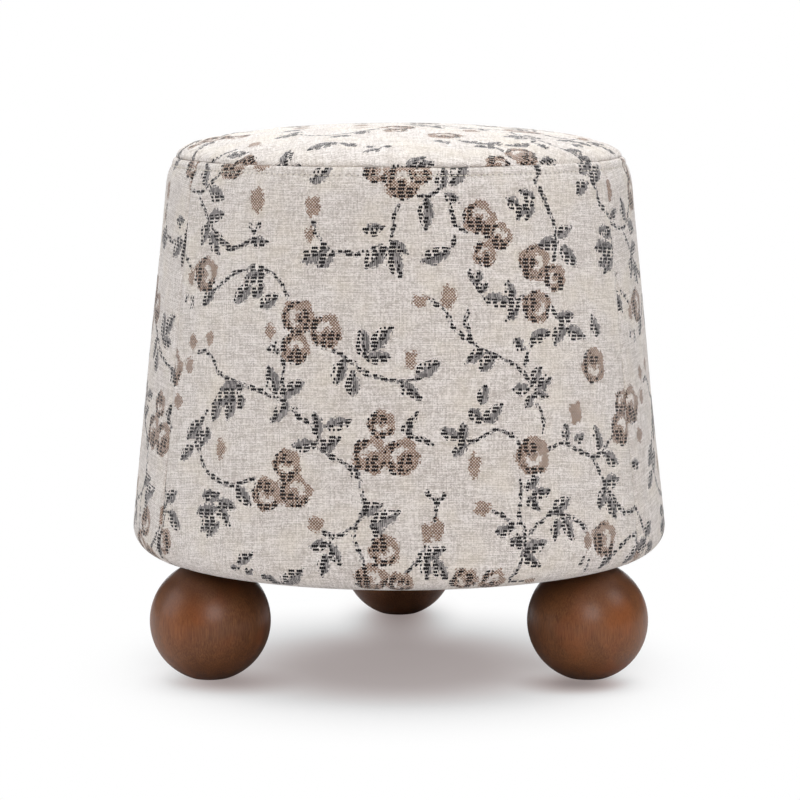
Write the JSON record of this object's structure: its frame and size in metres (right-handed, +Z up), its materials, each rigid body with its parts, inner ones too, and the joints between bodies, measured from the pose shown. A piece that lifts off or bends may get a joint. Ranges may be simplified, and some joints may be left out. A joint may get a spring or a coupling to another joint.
{
  "type": "footstool",
  "caption": "Round tapered footstool with a floral fabric cover, a crowned sewn top and turned wooden ball feet, on a hidden plywood frame.",
  "frame": {"origin": "on the floor, under the middle of the body", "axes": "+Z up, -Y towards the front, where two feet stand, +X to the right seen from the front"},
  "size_m": [0.406, 0.4099, 0.4069],
  "materials": {
    "floral_cover": "matte",
    "stained_wood": "satin",
    "plywood": "matte",
    "softwood": "matte",
    "wrap_board": "matte",
    "foam": "matte",
    "wadding": "matte",
    "dust_cloth": "matte",
    "zinc_steel": "satin"
  },
  "bodies": {
    "root": {"foot_front_left": "stained_wood", "foot_front_right": "stained_wood", "foot_rear": "stained_wood", "hanger_bolts": "zinc_steel", "tee_nuts": "zinc_steel", "base_board": "plywood", "upright_1": "softwood", "upright_2": "softwood", "upright_3": "softwood", "upright_4": "softwood", "upright_5": "softwood", "upright_6": "softwood", "seat_board": "plywood", "base_screws": "zinc_steel", "seat_screws": "zinc_steel", "shell_wrap": "wrap_board", "side_foam": "foam", "top_foam": "foam", "top_wadding": "wadding", "dust_cover": "dust_cloth", "side_cover_front": "floral_cover", "side_cover_rear_right": "floral_cover", "side_cover_rear_left": "floral_cover", "top_cover": "floral_cover"}
  },
  "joints": []
}
